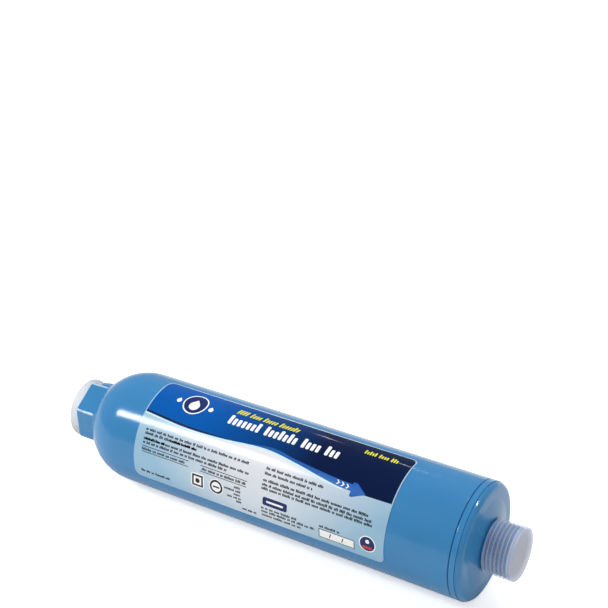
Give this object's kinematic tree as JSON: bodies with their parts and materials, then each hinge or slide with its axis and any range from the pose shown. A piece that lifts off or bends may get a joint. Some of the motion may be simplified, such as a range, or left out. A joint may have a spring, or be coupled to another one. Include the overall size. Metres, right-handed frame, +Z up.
{
  "type": "inline water filter",
  "caption": "Blue inline hose water filter with hexagonal female inlet, male outlet nipple, wrapped label, packed carbon media and removable frosted thread caps.",
  "frame": {"origin": "middle of the filter's axis, halfway between the plug rim and the thread cap end", "axes": "+X along the filter's axis from inlet to outlet, +Z up with the filter lying down, label centred on the -Y and +Z side"},
  "size_m": [0.2796, 0.0642, 0.0643],
  "materials": {
    "shell_blue": "gloss",
    "label_print": "gloss",
    "cap_frosted": "satin",
    "washer_rubber": "matte",
    "screen_steel": "satin",
    "grid_white": "matte",
    "felt_white": "matte",
    "copper_zinc_granules": "satin",
    "carbon_granules": "matte",
    "mesh_white": "matte"
  },
  "bodies": {
    "filter": {"canister_body": "shell_blue", "outlet_end_cap": "shell_blue", "product_label": "label_print", "hose_washer": "washer_rubber", "inlet_screen": "screen_steel", "inlet_grid": "grid_white", "inlet_pad": "felt_white", "copper_zinc_bed": "copper_zinc_granules", "separator_pad": "felt_white", "carbon_bed": "carbon_granules", "outlet_pad": "felt_white", "outlet_screen": "mesh_white", "outlet_grid": "grid_white"},
    "plug": {"inlet_plug": "cap_frosted"},
    "cap": {"outlet_thread_cap": "cap_frosted"}
  },
  "joints": [
    {"name": "plug_pull", "type": "slide", "parent": "filter", "child": "plug", "axis": [-1, 0, 0], "range_m": [0, 0.022]},
    {"name": "cap_pull", "type": "slide", "parent": "filter", "child": "cap", "axis": [1, 0, 0], "range_m": [0, 0.024]}
  ]
}
